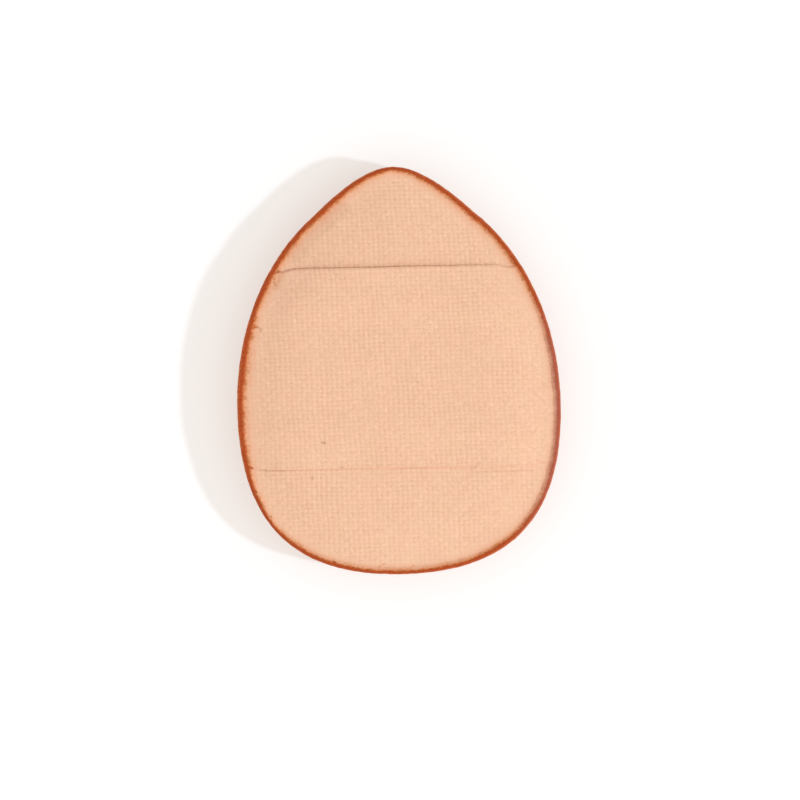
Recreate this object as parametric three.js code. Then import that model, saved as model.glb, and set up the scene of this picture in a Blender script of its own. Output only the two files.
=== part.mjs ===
// Finger puff: a small teardrop cushion for liquid and cream make-up, worn on one fingertip.
// It lies on its applicator face with the finger side up, its tip towards +Y and its round base
// towards -Y. The origin is on the applicator face, in the middle of the length and the width.
// Lengths are in millimetres. A section point is [inset, height]: how far it lies inside the
// outline, and how high above the applicator face.

import * as THREE from 'three';

// Overall size
const puffLength = 53;
const puffWidth = 42.1;

// Half of the outline, from the middle of the base round the widest level to the tip, as shares of
// half the width and of the length. Every third point lies on the outline, the others are handles.
const outlineShares = [
  [0, 0], [0.659, 0], [1, 0.125],
  [1, 0.412], [1, 0.617], [0.7915, 0.7846],
  [0.5045, 0.8815], [0.4446, 0.9017], [0.206, 1],
  [0, 1],
];
const centreShare = 0.46;
const evenShare = 0.16;

// Applicator skin: a cup with a flat face, full sides and a margin turned in under the weld
const skinThickness = 1.1;
const faceInset = 3.4;
const fullestHeight = 3.6;
const shoulderRise = 1.6;
const shoulderInset = 0.3;
const shoulderSwellShare = 0.6;
const skinMarginThickness = 0.35;
const marginWidth = 1;

// Layers over the foam
const layerGap = 0.12;
const filmThickness = 0.12;
const clothThickness = 0.32;
const pressedShare = 0.45;
const pressWidth = 1.6;

// Crown of the back: it rolls up from the weld, then domes slightly to the centre
const rollRise = 0.65;
const rollWidth = 13;
const rollPower = 5;
const domeRise = 0.35;

// Weld: the bead of fused edge that closes the layers
const beadInset = 0.2;
const beadWidth = 0.65;

// Finger band, with places along the puff measured from the middle of its length
const bandTop = 13.4;
const bandBottom = -12.6;
const bandClearance = 0.2;
const hemWidth = 3.6;
const middleSettle = 0.12;
const settleReach = 5;
const upperSlack = 0.2;
const lowerSlack = 0.05;
const slackReach = 7.5;

// Fineness of the facets
const stepsPerCurve = 11;
const frontSteps = 4;
const shoulderSteps = 2;
const crownSteps = 9;
const beadSteps = 7;
const bandColumns = 32;
const bandMiddleSteps = 4;
const foldSteps = 4;
const slopeStep = 0.01;

// Sizes that follow from those above
const coreInset = puffWidth / 2;
const evenInset = evenShare * coreInset;
const puffCentre = new THREE.Vector2(0, (centreShare - 1 / 2) * puffLength);
const shoulderHeight = fullestHeight + shoulderRise;
const weldInset = beadInset + beadWidth + layerGap;
const marginEnd = weldInset + marginWidth;
const skinMarginTop = shoulderHeight + skinMarginThickness;
const filmMarginTop = skinMarginTop + layerGap + filmThickness;
const liningMarginTop = filmMarginTop + layerGap + pressedShare * clothThickness;
const bandMarginTop = liningMarginTop + bandClearance + pressedShare * clothThickness;

function clampShare(value) {
  return THREE.MathUtils.clamp(value, 0, 1);
}

function shares(steps) {
  return Array.from({ length: steps + 1 }, (_, step) => step / steps);
}

// Outline

// Places round the outline, counter-clockwise from the base, each with the direction that faces out
function makeStations() {
  const corners = outlineShares.map(([across, along]) =>
    new THREE.Vector2(across * puffWidth / 2, (along - 1 / 2) * puffLength));
  const right = [];
  for (let first = 0; first + 3 < corners.length; first += 3) {
    const curve = new THREE.CubicBezierCurve(...corners.slice(first, first + 4));
    for (const share of shares(stepsPerCurve).slice(first === 0 ? 0 : 1)) {
      const along = curve.getTangent(share);
      right.push({ point: curve.getPoint(share), outward: new THREE.Vector2(along.y, -along.x) });
    }
  }
  for (const end of [right[0], right.at(-1)]) {
    end.point.x = 0;
    end.outward.set(0, Math.sign(end.outward.y));
  }
  const left = right.slice(1, -1).reverse().map(({ point, outward }) => ({
    point: new THREE.Vector2(-point.x, point.y),
    outward: new THREE.Vector2(-outward.x, outward.y),
  }));
  return [...right, ...left];
}

const stations = makeStations();

// The outline drawn in by an inset: evenly near the edge, then shrinking towards the centre
function ring(inset) {
  const even = Math.min(inset, evenInset);
  const shrink = (inset - even) / (coreInset - evenInset);
  return stations.map(({ point, outward }) =>
    point.clone().addScaledVector(outward, -even).lerp(puffCentre, shrink));
}

const evenRing = ring(evenInset);

// How far a place lies from the centre, as a share of the way to the even ring in its direction
function reachShare(place) {
  const ray = place.clone().sub(puffCentre);
  if (ray.length() < slopeStep) return 0;
  for (let i = 0; i < evenRing.length; i++) {
    const from = evenRing[i].clone().sub(puffCentre);
    const to = evenRing[(i + 1) % evenRing.length].clone().sub(puffCentre);
    if (from.cross(ray) >= 0 && ray.cross(to) > 0) {
      const side = to.clone().sub(from);
      return ray.cross(side) / from.cross(side);
    }
  }
  return 0;
}

function distanceToOutline(place) {
  const distances = stations.map(({ point }, i) => {
    const side = stations[(i + 1) % stations.length].point.clone().sub(point);
    const offset = place.clone().sub(point);
    const along = clampShare(offset.dot(side) / side.lengthSq());
    return offset.addScaledVector(side, -along).length();
  });
  return Math.min(...distances);
}

// The inset of the ring that passes through a place
function insetAt(x, y) {
  const place = new THREE.Vector2(x, y);
  const reach = reachShare(place);
  if (reach > 1) return distanceToOutline(place);
  return evenInset + (1 - reach) * (coreInset - evenInset);
}

// Half the width, at a place along the puff, of the room inside the weld
function halfRoomAt(y) {
  const room = ring(weldInset).slice(0, 3 * stepsPerCurve + 1);
  const above = room.findIndex((place) => place.y >= y);
  const from = room[above - 1];
  const to = room[above];
  return THREE.MathUtils.mapLinear(y, from.y, to.y, from.x, to.x);
}

// Crown of the back

// Height of the lining's upper face
function backHeight(inset) {
  const rolled = clampShare((inset - weldInset) / rollWidth);
  const inward = clampShare((inset - weldInset) / (coreInset - weldInset));
  const roll = 1 - (1 - rolled) ** rollPower * (1 + rollPower * rolled);
  const dome = 1 - (1 - inward) ** 2;
  return liningMarginTop + rollRise * roll + domeRise * dome;
}

// The section point that lies below the lining's upper face by a depth, square to that face
function belowBack(inset, depth) {
  const slope = (backHeight(inset + slopeStep) - backHeight(inset - slopeStep)) / (2 * slopeStep);
  const length = Math.hypot(1, slope);
  return [Math.min(coreInset, inset + depth * slope / length), backHeight(inset) - depth / length];
}

// How much of its thickness cloth keeps: it is pressed thin where the weld has gripped it
function loftShareAt(inset) {
  const free = THREE.MathUtils.smoothstep(inset - weldInset, 0, pressWidth);
  return THREE.MathUtils.lerp(pressedShare, 1, free);
}

// Insets from the weld to the centre, closest together where the back rolls up
const crownInsets = shares(crownSteps).map((share) =>
  THREE.MathUtils.lerp(weldInset, coreInset, share ** 2));

function liningDepth(inset) {
  return loftShareAt(inset) * clothThickness;
}

function filmDepth(inset) {
  return liningDepth(inset) + layerGap + filmThickness;
}

// Solids that follow the outline

// A solid from a section carried round the outline. The section runs from the underside outwards,
// up and back in. Where it starts and ends at the centre it closes there, and otherwise on itself.
function roundSolid(section) {
  const positions = [];
  const faces = [];
  const rows = section.map(([inset, height]) => {
    const places = inset >= coreInset ? [puffCentre] : ring(inset);
    return places.map(({ x, y }) => positions.push(x, y, height) / 3 - 1);
  });
  const strips = rows[0].length === 1 ? rows.length - 1 : rows.length;
  for (let row = 0; row < strips; row++) {
    const lower = rows[row];
    const upper = rows[(row + 1) % rows.length];
    stations.forEach((_, i) => {
      const next = (i + 1) % stations.length;
      if (lower.length > 1) faces.push(lower[i], lower[next], upper[next % upper.length]);
      if (upper.length > 1) faces.push(lower[i % lower.length], upper[next], upper[i]);
    });
  }
  return solidFrom(positions, faces);
}

function solidFrom(positions, faces) {
  const geometry = new THREE.BufferGeometry();
  geometry.setAttribute('position', new THREE.Float32BufferAttribute(positions, 3));
  geometry.setIndex(faces);
  geometry.computeVertexNormals();
  return geometry;
}

// The rounded front edge at a depth inside the skin, from the flat face up to the fullest height
function frontArc(depth) {
  return shares(frontSteps).map((share) => {
    const turn = share * Math.PI / 2;
    return [
      faceInset - (faceInset - depth) * Math.sin(turn),
      fullestHeight - (fullestHeight - depth) * Math.cos(turn),
    ];
  });
}

// The side from its fullest height up to a section point, without its first point
function shoulderCurve(depth, [endInset, endHeight]) {
  const swellHeight = THREE.MathUtils.lerp(fullestHeight, endHeight, shoulderSwellShare);
  const curve = new THREE.QuadraticBezierCurve(
    new THREE.Vector2(depth, fullestHeight),
    new THREE.Vector2(depth, swellHeight),
    new THREE.Vector2(endInset, endHeight),
  );
  return curve.getPoints(shoulderSteps).slice(1).map(({ x, y }) => [x, y]);
}

// The cup of skin: outer face, turned-in margin, then the inner face back down to its floor
function skinGeometry() {
  const inner = [
    ...frontArc(skinThickness),
    ...shoulderCurve(skinThickness, [marginEnd, shoulderHeight]),
  ];
  return roundSolid([
    [coreInset, 0],
    ...frontArc(0),
    ...shoulderCurve(0, [shoulderInset, shoulderHeight]),
    [weldInset, shoulderHeight],
    [weldInset, skinMarginTop],
    [marginEnd, skinMarginTop],
    ...inner.reverse(),
    [coreInset, skinThickness],
  ]);
}

// The foam fills the cup and carries the crown
function foamGeometry() {
  const depth = skinThickness + layerGap;
  const edgeInset = marginEnd + layerGap;
  const top = crownInsets.filter((inset) => inset > edgeInset)
    .map((inset) => belowBack(inset, filmDepth(inset) + layerGap));
  const edge = [edgeInset, shoulderHeight];
  return roundSolid([[coreInset, depth], ...frontArc(depth), ...shoulderCurve(depth, edge), ...top]);
}

// A sheet under the lining's upper face, between two depths that may change with the inset
function sheetGeometry(upperDepth, lowerDepth) {
  const upper = crownInsets.map((inset) => belowBack(inset, upperDepth(inset)));
  const lower = crownInsets.map((inset) => belowBack(inset, lowerDepth(inset)));
  return roundSolid([...lower.reverse(), ...upper]);
}

function filmGeometry() {
  return sheetGeometry((inset) => liningDepth(inset) + layerGap, filmDepth);
}

function liningGeometry() {
  return sheetGeometry(() => 0, liningDepth);
}

// The bead: flat against the layers on its inner side and round on its outer side
function weldGeometry() {
  const low = shoulderHeight + layerGap;
  const section = shares(beadSteps).map((share) => {
    const turn = share * Math.PI;
    return [
      beadInset + beadWidth * (1 - Math.sin(turn)),
      THREE.MathUtils.lerp(low, bandMarginTop, (1 - Math.cos(turn)) / 2),
    ];
  });
  return roundSolid(section);
}

// Finger band

// The band's section as [place along the puff, rise above the lining], counter-clockwise seen from
// +X: turned hems of two plies at both edges, and one ply between, level with their upper plies
// but for a slight settle towards the lining
function bandSection() {
  const ply = clothThickness;
  const fold = (edge, turned) => shares(foldSteps).map((share) => {
    const turn = share * Math.PI;
    return [edge - turned * ply * (1 - Math.sin(turn)), ply * (1 - turned * Math.cos(turn))];
  });
  const lowerHem = bandBottom + hemWidth;
  const upperHem = bandTop - hemWidth;
  const middle = shares(bandMiddleSteps).map((share) =>
    THREE.MathUtils.lerp(lowerHem + settleReach, upperHem - settleReach, share));
  return [
    [lowerHem, 0],
    [lowerHem, ply],
    ...middle.map((along) => [along, ply - middleSettle]),
    [upperHem, ply],
    [upperHem, 0],
    ...fold(bandTop, 1),
    [upperHem, 2 * ply],
    ...middle.toReversed().map((along) => [along, 2 * ply - middleSettle]),
    [lowerHem, 2 * ply],
    ...fold(bandBottom, -1),
  ];
}

// Extra lift where the band's edges stand off the lining, most halfway across
function slackAt(acrossShare, y) {
  const upper = clampShare((y - bandTop + slackReach) / slackReach) ** 2;
  const lower = clampShare((bandBottom + slackReach - y) / slackReach) ** 2;
  return (1 - acrossShare ** 2) * (upperSlack * upper + lowerSlack * lower);
}

// The point above a place on the back by a rise square to the lining, plus a lift straight up
function aboveBack(x, y, rise, lift) {
  const height = (dx, dy) => backHeight(insetAt(x + dx, y + dy));
  const normal = new THREE.Vector3(
    (height(-slopeStep, 0) - height(slopeStep, 0)) / (2 * slopeStep),
    (height(0, -slopeStep) - height(0, slopeStep)) / (2 * slopeStep),
    1,
  ).normalize();
  return new THREE.Vector3(x, y, height(0, 0) + lift).addScaledVector(normal, rise);
}

// Columns of the band's section from its left end to its right end, closest together at the ends
function bandGeometry() {
  const section = bandSection();
  const positions = [];
  for (const share of shares(bandColumns)) {
    const even = 2 * share - 1;
    const across = even * (3 - even ** 2) / 2;
    for (const [y, rise] of section) {
      const x = across * halfRoomAt(y);
      const plies = rise * loftShareAt(insetAt(x, y));
      const place = aboveBack(x, y, bandClearance + plies, slackAt(across, y));
      positions.push(place.x, place.y, place.z);
    }
  }
  const count = section.length;
  const faces = [];
  for (let column = 0; column < bandColumns; column++) {
    for (let i = 0; i < count; i++) {
      const here = column * count + i;
      const next = column * count + (i + 1) % count;
      faces.push(here, next, next + count, here, next + count, here + count);
    }
  }
  const lastColumn = bandColumns * count;
  for (const [a, b, c] of sectionTriangles(section)) {
    faces.push(lastColumn + a, lastColumn + b, lastColumn + c, a, c, b);
  }
  return solidFrom(positions, faces);
}

// Triangles that fill a section, all counter-clockwise
function sectionTriangles(section) {
  const contour = section.map(([along, rise]) => new THREE.Vector2(along, rise));
  return THREE.ShapeUtils.triangulateShape(contour, []).map(([a, b, c]) =>
    THREE.ShapeUtils.area([contour[a], contour[b], contour[c]]) > 0 ? [a, b, c] : [a, c, b]);
}

// Materials

const skinMaterial = new THREE.MeshStandardMaterial({ color: 0xa9512d, roughness: 0.85, metalness: 0 });
const foamMaterial = new THREE.MeshStandardMaterial({ color: 0xb9664a, roughness: 0.95, metalness: 0 });
const filmMaterial = new THREE.MeshStandardMaterial({ color: 0xe6d6cc, roughness: 0.35, metalness: 0 });
const liningMaterial = new THREE.MeshStandardMaterial({ color: 0xf1c2a0, roughness: 0.9, metalness: 0 });
const bandMaterial = new THREE.MeshStandardMaterial({ color: 0xf2c4a2, roughness: 0.9, metalness: 0 });
const weldMaterial = new THREE.MeshStandardMaterial({ color: 0xa1370f, roughness: 0.6, metalness: 0 });

function piece(name, geometry, material) {
  const mesh = new THREE.Mesh(geometry, material);
  mesh.name = name;
  return mesh;
}

const puff = new THREE.Group();
puff.add(
  piece('applicator_skin', skinGeometry(), skinMaterial),
  piece('foam_core', foamGeometry(), foamMaterial),
  piece('barrier_film', filmGeometry(), filmMaterial),
  piece('back_lining', liningGeometry(), liningMaterial),
  piece('finger_band', bandGeometry(), bandMaterial),
  piece('edge_weld', weldGeometry(), weldMaterial),
);

export default puff;
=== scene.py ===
"""Finger puff, lying on its applicator face with the finger side up.

Lengths are in millimetres until a mesh, lamp or camera is made, and in metres in the calls at the
end. +Y runs to the narrow tip and +Z out of the finger side, from the middle of the applicator
face. An inset is how far a place lies inside the outline.
"""

import math

import bpy
import numpy as np
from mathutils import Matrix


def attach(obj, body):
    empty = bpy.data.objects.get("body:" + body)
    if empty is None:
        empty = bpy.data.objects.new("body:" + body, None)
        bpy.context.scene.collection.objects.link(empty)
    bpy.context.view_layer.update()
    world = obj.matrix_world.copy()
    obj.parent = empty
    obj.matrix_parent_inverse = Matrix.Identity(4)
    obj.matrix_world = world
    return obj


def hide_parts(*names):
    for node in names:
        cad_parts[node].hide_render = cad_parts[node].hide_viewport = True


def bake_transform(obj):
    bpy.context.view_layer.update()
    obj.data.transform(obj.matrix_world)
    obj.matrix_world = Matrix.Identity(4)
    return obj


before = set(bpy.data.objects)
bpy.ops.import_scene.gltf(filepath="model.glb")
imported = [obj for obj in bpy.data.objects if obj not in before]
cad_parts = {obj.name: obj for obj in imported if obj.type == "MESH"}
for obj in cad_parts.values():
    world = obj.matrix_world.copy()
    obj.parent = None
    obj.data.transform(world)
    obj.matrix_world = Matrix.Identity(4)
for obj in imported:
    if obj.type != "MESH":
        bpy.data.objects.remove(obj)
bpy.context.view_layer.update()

METRES = 0.001

# Fineness
OUTLINE_STEPS = 110
ARC_STEPS = 12
SHOULDER_STEPS = 8
LINING_STATIONS = 1600
BEAD_STATIONS = 1200
SKIN_STATIONS = 720
PAD_STATIONS = 360
FACE_RINGS = 9
FOAM_RINGS = 34
FILM_RINGS = 40
RING_CROWDING = 1.4
SHARP_ANGLE = 60

# Overall size and outline
PUFF_LENGTH = 53
PUFF_WIDTH = 42.1
OUTLINE_SHARES = (
    (0, 0), (0.659, 0), (1, 0.125), (1, 0.412), (1, 0.617),
    (0.7915, 0.7846), (0.5045, 0.8815), (0.4446, 0.9017), (0.206, 1), (0, 1),
)
CENTRE_SHARE = 0.46
EVEN_SHARE = 0.16

# Applicator skin
SKIN_THICKNESS = 1.1
FACE_INSET = 3.4
FULLEST_HEIGHT = 3.6
SHOULDER_RISE = 1.6
SHOULDER_INSET = 0.3
SHOULDER_SWELL_SHARE = 0.6
SKIN_MARGIN_THICKNESS = 0.35
MARGIN_WIDTH = 1

# Layers over the foam
LAYER_GAP = 0.12
FOAM_EXTRA_GAP = 0.05
FOAM_TOP_INSET = 0.15
FILM_THICKNESS = 0.12
CLOTH_THICKNESS = 0.32
PRESSED_SHARE = 0.45
PRESS_WIDTH = 1.6
BAND_PRESS_WIDTH = 5

# Crown of the back
ROLL_RISE = 0.65
ROLL_WIDTH = 13
ROLL_POWER = 5
DOME_RISE = 0.35

# Weld
BEAD_INSET = 0.2
BEAD_WIDTH = 0.65

# Finger band
BAND_TOP = 13.4
BAND_BOTTOM = -12.6
BAND_CLEARANCE = 0.1
HEM_WIDTH = 3.6
MIDDLE_SETTLE = 0.3
SETTLE_REACH = 5
UPPER_SLACK = 0.2
LOWER_SLACK = 0.05
SLACK_REACH = 7.5

# Sizes that follow from those above
CORE_INSET = PUFF_WIDTH / 2
EVEN_INSET = EVEN_SHARE * CORE_INSET
UPPER_HEM = BAND_TOP - HEM_WIDTH
LOWER_HEM = BAND_BOTTOM + HEM_WIDTH
CENTRE = np.array([0, (CENTRE_SHARE - 1 / 2) * PUFF_LENGTH])
SHOULDER_HEIGHT = FULLEST_HEIGHT + SHOULDER_RISE
WELD_INSET = BEAD_INSET + BEAD_WIDTH + LAYER_GAP
MARGIN_END = WELD_INSET + MARGIN_WIDTH
SKIN_MARGIN_TOP = SHOULDER_HEIGHT + SKIN_MARGIN_THICKNESS
FILM_MARGIN_TOP = SKIN_MARGIN_TOP + LAYER_GAP + FILM_THICKNESS
LINING_MARGIN_TOP = FILM_MARGIN_TOP + LAYER_GAP + PRESSED_SHARE * CLOTH_THICKNESS

# Seeds
LINING_SEED = 11
BAND_SEED = 23
BEAD_SEED = 5

# Weave, with the turns of its warp and weft in degrees counter-clockwise
WARP_PITCH = 0.65
WEFT_PITCH = 0.563
BAND_TURNS = (1.74, -0.35)
LINING_TURNS = (1.6, -0.9)
LINING_BOW = 0.00046
WEAVE_RELIEF = 0.085
WEAVE_MEAN_SHARE = 0.7
YARN_FULLNESS = 0.7
CRIMP_SHARE = 0.55
YARN_JITTER = 0.035
YARN_WANDER = 0.05
YARNS_EACH_WAY = 60
YARN_STEPS = 6
HIDDEN_YARN_STEPS = 2
HIDDEN_MARGIN = 2
END_MARGIN_SHARE = 0.25
ROW_MARGIN_SHARE = 0.1

# Where inside the weld yarns stray freely, and a bound on their shift along an edge
FREE_REACH = 1.5
LEAST_SQUARE = 0.2

# Tones of whole yarns, in part even and in part slowly changing, of streaks and of crossings
YARN_TONE = 0.25
STREAK_TONE = 0.35
STREAK_LENGTH = 0.7
CROSSING_TONE = 0.6
WARP_SLOW_SHARE = 0.6
WEFT_EVEN_SHARE = 0.6
WEFT_SLOW_SHARE = 0.4

# Ranges of the yarns' thickness, of their tones' spans and of how much painted shade the gaps
# between yarns get
YARN_SIZES = (0.86, 1.14)
TONE_SPANS = (4, 11)
PIT_SHADES = (0.3, 1.1)

# Waves over the cloth, as lengths along u and v for each radian
WANDER_WAVES = (((5, 1.7), (-3, 0.9)), ((1.9, -6), (1.1, 4)))
PATCH_WAVES = ((2.3, 3.1), (1.7, -2.6), (4, 1.1))
FINE_PATCH_LENGTHS = (0.9, 1.3)
PATCH_SWING = 0.1
FINE_PATCH_SWING = 0.06

# Ends of the band, where the weld draws its edges together
END_PULL = 0.33
END_PULL_REACH = 2.4

# Folds, pressed onto the lining: shares of height that they keep, the upper one from left to right
LOWER_PRESSED_SHARE = 0.25
LOWER_PRESS_REACH = 9
UPPER_PRESSED_SHARES = (0.56, 0.38)
UPPER_PRESS_REACH = 8
UPPER_PRESS_SPAN = 16

# Folds, along which the yarns lie straighter
FOLD_STRAY_SHARE = 0.3
FOLD_STRAY_REACH = 2.5

# Painted shade on the folds' turned cloth, darkening the folds' lines, and the shares of facing
# along the puff between which it comes up
UPPER_FOLD_SHADE = 0.16
LOWER_FOLD_SHADE = 0.08
SHADE_FACINGS = (0.1, 0.7)

# Widths of the melted rim at even turns, counter-clockwise from +X, and waves that vary them
MELT_WIDTHS = (
    1.03, 0.99, 1.07, 1.16, 1.26, 1.11, 0.97, 1.23, 1.33, 1.24, 1.17, 1.45,
    1.5, 1.44, 1.07, 0.78, 0.93, 0.96, 0.88, 0.98, 1.11, 1.08, 0.97, 0.99,
)
MELT_WAVES = ((5, 0.6), (11, 0), (23, 1), (61, 2))
MELT_UNEVEN_SHARE = 0.035

# Small marks: x and y of a path's pixels in the photograph, a reach, and a strength or, for
# scorches, a depth in the melt
MARK_CORE_SHARE = 0.35
SCORCHES = (
    ((247, 326, 252, 326.4, 254.4, 326.7), 0.4, 0.56), ((254.4, 326.7, 257.6, 327.2), 0.24, 0.8),
    ((276, 272.2, 280, 272.4), 0.2, 0.72), ((272.6, 278.2, 275, 279.4), 0.24, 0.72),
    ((243, 467, 249, 467.6, 252.6, 467.9), 0.24, 0.5),
    ((377, 571, 379, 566.5, 384.6, 563.5), 0.17, 0.85),
    ((410, 571, 412, 566, 414, 565), 0.16, 0.85), ((282, 274.5, 275, 287), 0.6, 1.0),
)
BURNS = (
    ((255.8, 491, 256.6, 492), 0.2, 0.8), ((257.6, 496.4, 258.3, 497.2), 0.16, 0.6),
    ((261, 504, 261.8, 505), 0.2, 0.7), ((263.6, 510, 264.4, 510.9), 0.18, 0.6),
    ((271, 516, 271.6, 516.7), 0.18, 0.5), ((303, 549.2, 304, 550), 0.2, 0.7),
    ((311.4, 554, 312.4, 554.8), 0.18, 0.5), ((316.2, 556.4, 317.4, 557.3), 0.22, 0.75),
    ((322.4, 558.8, 323.6, 559.4), 0.2, 0.7), ((333.6, 561.6, 335.8, 562.6), 0.24, 0.85),
    ((351.8, 566.9, 353, 567.2), 0.18, 0.6), ((358.8, 568.5, 360.4, 568.9), 0.18, 0.6),
    ((267.2, 284.6, 268.2, 285.4), 0.16, 0.5),
)
# Creases dent the cloth, and painted shade darkens them in proportion to their strength
CREASE_DEPTH = 0.035
CREASE_SHADE = 0.5
CREASES = (
    ((257.6, 327.2, 259.8, 328, 261.3, 329.6, 260.8, 331.6), 0.24, 0.6),
    ((272.4, 280.8, 274.4, 283, 276.4, 285.6), 0.18, 0.9),
    ((468, 478, 472, 470, 479, 462), 0.3, 0.2), ((474, 471.5, 505, 470.8, 534, 470), 0.22, 0.2),
)
# Small darker marks: specks on the cloth, and painted shade in dashes along the folds' lines, by the
# band's left end and in a wide zone inside the rim at the upper left
SPECKS_AND_SHADES = (
    ((322.2, 442.3, 325.6, 442.8), 0.2, 0.5), ((341, 467.2, 343.2, 467.5), 0.17, 0.4),
    ((312.5, 476.5, 312.7, 478.6), 0.17, 0.4), ((278, 287.6, 278.2, 288.4), 0.16, 0.2),
    ((285.4, 270.4, 288.2, 269.7), 0.16, 0.28), ((258.4, 470, 261.4, 470.3), 0.2, 0.12),
    ((263.7, 470.3, 269.5, 470.7), 0.2, 0.22), ((273, 470.6, 280.5, 470.5), 0.2, 0.22),
    ((282.5, 470.6, 284.4, 470.5), 0.18, 0.25),
    # Painted shade inside the rim at the upper left, the side away from the lamp
    ((343, 209, 331, 220, 315.5, 234.5, 303.5, 247.5, 297, 257), 1.25, 0.13),
    ((282, 277.5, 277, 287), 0.8, 0.1),
)

# Trimmed edge, which wavers a little
TRIM_WAVER = 0.006
TRIM_WAVES = ((23, 0.6), (37, 2.1), (53, 4.0), (88, 1.2), (131, 5.1))

# Photograph
PHOTO_PIXELS = 800
PHOTO_LENGTH_PIXELS = 408.35
PHOTO_SCALE = PUFF_LENGTH / PHOTO_LENGTH_PIXELS
PHOTO_CENTRE_PIXEL = (397.95, 370.5)
PHOTO_TURN = math.radians(1.63)
CAMERA_DISTANCE = 600
RIM_HEIGHT = 5
SENSOR_WIDTH = 36


def clamp(value):
    return np.clip(value, 0, 1)


def lerp(low, high, share):
    return low + (high - low) * share


def smooth(low, high, value):
    share = clamp((value - low) / (high - low))
    return share * share * (3 - 2 * share)


def photo_place(pixel_x, pixel_y):
    """Where a pixel of the photograph shows, at the rim's height."""
    right = (pixel_x - PHOTO_CENTRE_PIXEL[0]) * PHOTO_SCALE
    up = (PHOTO_CENTRE_PIXEL[1] - pixel_y) * PHOTO_SCALE
    cosine, sine = math.cos(PHOTO_TURN), math.sin(PHOTO_TURN)
    return np.array([right * cosine + up * sine, up * cosine - right * sine])


# Outline and crown

def bezier(corners, steps):
    """Points of a cubic curve, given its four corners."""
    share = np.linspace(0, 1, steps + 1)[:, None]
    a, b, c, d = corners
    rest = 1 - share
    return rest ** 3 * a + 3 * rest ** 2 * share * b + 3 * rest * share ** 2 * c + share ** 3 * d


def chain_lengths(points):
    """Lengths along a chain of points, up to each one."""
    return np.append(0, np.cumsum(np.hypot(*np.diff(points, axis=0).T)))


def along_chain(places, lengths, values):
    """The values of a chain's points, at places along its lengths."""
    return np.stack([np.interp(places, lengths, column) for column in values.T], 1)


def unit(vectors):
    return vectors / np.hypot(*vectors.T)[:, None]


def make_edge(steps):
    """The outline's right half from base to tip, and the directions out of it."""
    corners = np.array(OUTLINE_SHARES) * (PUFF_WIDTH / 2, PUFF_LENGTH) - (0, PUFF_LENGTH / 2)
    curves = [bezier(corners[first:first + 4], steps) for first in (0, 3, 6)]
    points = np.vstack([curves[0], curves[1][1:], curves[2][1:]])
    lengths = chain_lengths(points)
    points = along_chain(np.linspace(0, lengths[-1], 3 * steps + 1), lengths, points)
    along = np.gradient(points, axis=0)
    along[0] = (1, 0)
    along[-1] = (-1, 0)
    return points, unit(np.stack([along[:, 1], -along[:, 0]], 1))


EDGE, EDGE_OUT = make_edge(OUTLINE_STEPS)


def inset_at(x, y):
    """How far places lie inside the outline, and the unit directions further in."""
    sides = np.diff(EDGE, axis=0)
    offset = np.stack([np.abs(x), y], 1)[:, None] - EDGE[:-1]
    along = clamp((offset * sides).sum(2) / (sides ** 2).sum(1))
    gap = np.hypot(*np.moveaxis(offset - along[..., None] * sides, 2, 0))
    nearest = gap.argmin(1)
    rows = np.arange(len(x))
    facing = lerp(EDGE_OUT[nearest], EDGE_OUT[nearest + 1], along[rows, nearest][:, None])
    inward = -unit(facing)
    inward[:, 0] *= np.where(x < 0, -1, 1)
    return gap[rows, nearest], inward


def crown(x, y):
    """Points on the lining's upper face, its unit normals, and the insets."""
    inset, inward = inset_at(x, y)
    rolled = clamp((inset - WELD_INSET) / ROLL_WIDTH)
    roll = 1 - (1 - rolled) ** ROLL_POWER * (1 + ROLL_POWER * rolled)
    steep = ROLL_POWER * (ROLL_POWER + 1) / ROLL_WIDTH * rolled * (1 - rolled) ** (ROLL_POWER - 1)
    spread = np.array([PUFF_WIDTH / 2, PUFF_LENGTH / 2])
    offset = (np.stack([x, y], 1) - CENTRE) / spread
    dome = DOME_RISE * (1 - (offset ** 2).sum(1))
    slope = (ROLL_RISE + dome)[:, None] * steep[:, None] * inward
    slope = slope - 2 * DOME_RISE * (roll[:, None] * offset / spread)
    height = LINING_MARGIN_TOP + (ROLL_RISE + dome) * roll
    normal = lift(-slope, 1)
    normal /= np.linalg.norm(normal, axis=1)[:, None]
    return np.stack([x, y, height], 1), normal, inset


def loft_share(inset, press_width=PRESS_WIDTH):
    """How much of its thickness cloth keeps, pressed thin near the weld."""
    return lerp(PRESSED_SHARE, 1, smooth(0, press_width, inset - WELD_INSET))


# Meshes

def put(name, data):
    """A new object in the scene."""
    made = bpy.data.objects.new(name, data)
    bpy.context.scene.collection.objects.link(made)
    return made


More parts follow.
